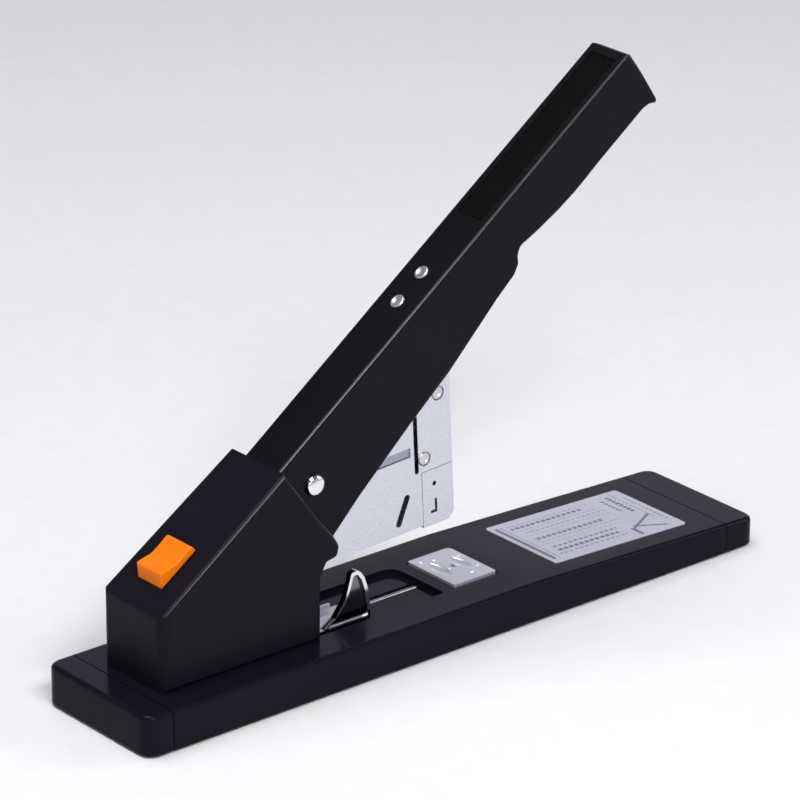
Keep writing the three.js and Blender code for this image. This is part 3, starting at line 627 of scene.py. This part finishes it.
# ---------------------------------------------------------------- handle pin and return spring
# The handle turns on a 6 mm steel pin with polished domed heads. A torsion coil round it lifts the
# handle again.
HANDLE_PIN = (-55.4, 0, 73)
dome = [(4.2, 10.35), (4.2, 10.75), (4.02, 11.3), (3.6, 11.8), (2.9, 12.2), (2.0, 12.44), (1.0, 12.53),
        (0, 12.55)]
pivot = spun("handle_pivot_pin", [(r, -h) for r, h in reversed(dome)] + [(3, -10.35), (3, 10.35)] + dome,
             CHROME, HANDLE_PIN, (math.radians(90), 0, 0), steps=64)
settle(pivot, "head", CHROME, "pivot_pin")
coil = coil_spring("handle_return_spring", 4.9, 0.65, 4.25, -2.8, 2.8, HANDLE_PIN,
                   (math.radians(-90), 0, 0))
settle(coil, "head", WIRE, "return_spring")


# ---------------------------------------------------------------- driver
# The hardened blade that pushes one staple down is held by a steel block, which runs in the slots of
# the side plates and hangs on a cross pin.
BLADE_STEEL = plated_steel("blade_steel", tint=(0.60, 0.61, 0.64), rough=0.2, pull=(20, 20, 0.5))
softened("driver_blade", "driver_blade_strip", "driver", BLADE_STEEL, 0.08, 2)
softened("driver_block", "driver_carrier", "driver", DARK_ZINC, 0.2, 2)
softened("driver_pin", "driver_cross_pin", "driver", ZINC, 0.25, 2)


# ---------------------------------------------------------------- magazine
# The nose block and the folded channel slide out of the head together. The staples lie on the channel
# floor as a glued row of flat wires with their crowns up.
def black_oxide():
    metal = Finish("black_oxide_steel", (0.02, 0.02, 0.022), 0.42, 0.6)
    cloud = metal.noise(180, 4)
    metal.feed("Base Color", metal.colours(cloud, (0.013, 0.013, 0.015), (0.034, 0.033, 0.036)))
    metal.feed("Roughness", 0.34 + 0.2 * cloud)
    metal.relief(metal.noise(1200, 3), 0.00002, 0.6)
    return metal


softened("magazine_nose", "magazine_nose_block", "magazine", PLATE_STEEL, 0.16, 2)
softened("magazine_channel", "magazine_tray", "magazine", black_oxide(), 0.12, 2)


def staple_row():
    wire = Finish("staple_wire", (0.56, 0.58, 0.63), 0.28, 1.0)
    streak = wire.noise(1300, 2)
    wire.feed("Base Color", wire.colours(streak, (0.46, 0.48, 0.53), (0.68, 0.70, 0.75)))
    wire.feed("Roughness", 0.22 + 0.16 * streak)
    tree = Tree("staple_row_stack")
    count = 51
    low, high, half, thick = 3.8, 14.62, 5.85, 0.3
    start = bpy.data.meshes.new("staple_path")
    start.from_pydata([(0, -half * MM, low * MM), (0, -half * MM, high * MM), (0, half * MM, high * MM),
                       (0, half * MM, low * MM)], [(0, 1), (1, 2), (2, 3)], [])
    path = tree.node("GeometryNodeMeshToCurve", None, {"Mesh": tree.geometry()})
    path = tree.node("GeometryNodeFilletCurve", {"mode": "POLY"}, {
        "Curve": path, "Radius": tree.size("Bend", 0.5 * MM), "Count": 4, "Limit Radius": True})
    section = tree.node("GeometryNodeCurvePrimitiveQuadrilateral", {"mode": "RECTANGLE"}, {
        "Width": tree.size("Width", 0.9 * MM), "Height": tree.size("Thickness", 2 * thick * MM)})
    wire_body = tree.node("GeometryNodeCurveToMesh", None, {
        "Curve": path, "Profile Curve": section, "Fill Caps": True})
    row = tree.node("GeometryNodeMeshLine", None, {
        "Count": tree.size("Staples", count), "Offset": tree.size("Pitch", (0.98 * MM, 0.0, 0.0))})
    body = tree.node("GeometryNodeInstanceOnPoints", None, {"Points": row, "Instance": wire_body})
    x, z = in_head(-53.9, 0)
    body = tree.node("GeometryNodeTransform", None, {
        "Geometry": body, "Translation": tree.size("Place", (x * MM, 0.0, z * MM)),
        "Rotation": tree.size("Turn", (0.0, -PITCH, 0.0))})
    return tree.build("staple_row", body, wire.material, start), wire


row, wire = staple_row()
settle(row, "magazine", wire, "staple_strip")
softened("pusher", "staple_pusher", "pusher", COVER_PLASTIC, 0.25, 2)


# ---------------------------------------------------------------- latch
# A small bent steel lever under the slope. The orange button tips it and its hook lets the magazine go.
softened("latch_lever", "magazine_latch", "latch", DARK_ZINC, 0.2, 2)


# ---------------------------------------------------------------- handle
# One long steel pressing, open below, with a satin black coating that handling has polished along the
# edges. The grip end is closed and carries a rubber strip let into its top.
def coated_steel():
    coat = Finish("black_coated_steel", (0.012, 0.0115, 0.0145), 0.36,
                  Specular_IOR_Level=0.09, Coat_IOR=1.5, Coat_Roughness=0.17)
    cloud = coat.noise(30, 5)
    wear = coat.noise(14, 4, coat.place(turn=(0, math.radians(-36.5), 0), scale=(4, 1, 1)))
    coat.feed("Base Color", coat.colours(cloud, (0.0026, 0.0023, 0.0044), (0.0046, 0.0041, 0.0074)))
    coat.feed("Roughness", 0.29 + 0.09 * cloud + 0.07 * wear.ramp(0.5, 0.8))
    worn_edge(coat, 0.5 + 0.2 * cloud)
    coat.relief(coat.noise(1500, 3) + 0.5 * coat.noise(210, 2), 0.00003, 0.55)
    return coat


HANDLE_COAT = coated_steel()
softened("handle_shell", "handle_pressing", "handle", HANDLE_COAT, 0.3, 3)
GRIP_RUBBER = soft_rubber("grip_rubber", 1500, 0.00006, 0.003, 0.04)
softened("grip_pad", "handle_grip_strip", "handle", GRIP_RUBBER, 0.12, 2)
softened("lever_core", "handle_pull_cheeks", "handle", DARK_ZINC, 0.2, 2)

HANDLE_PITCH = math.radians(36.55)
RIVET_HEAD = [(0, -3.2), (2.0, -3.2), (2.0, 0.05), (2.7, 0.05), (2.8, 0.2), (2.78, 0.45), (2.6, 0.68),
              (2.3, 0.8), (1.95, 0.78), (1.6, 0.62), (0.9, 0.5), (0, 0.46)]
RIVET_PITCH = 13.9
out, up = 70.4, 16.35
first_rivet = (HANDLE_PIN[0] + out * math.cos(HANDLE_PITCH) - up * math.sin(HANDLE_PITCH), 0,
               HANDLE_PIN[2] + out * math.sin(HANDLE_PITCH) + up * math.cos(HANDLE_PITCH))
rivets = spun("handle_web_rivets", RIVET_HEAD, STUD_STEEL, first_rivet, (0, -HANDLE_PITCH, 0),
              along=(2, (RIVET_PITCH, 0, 0)), steps=48)
settle(rivets, "handle", STUD_STEEL, "web_rivet_1", "web_rivet_2")
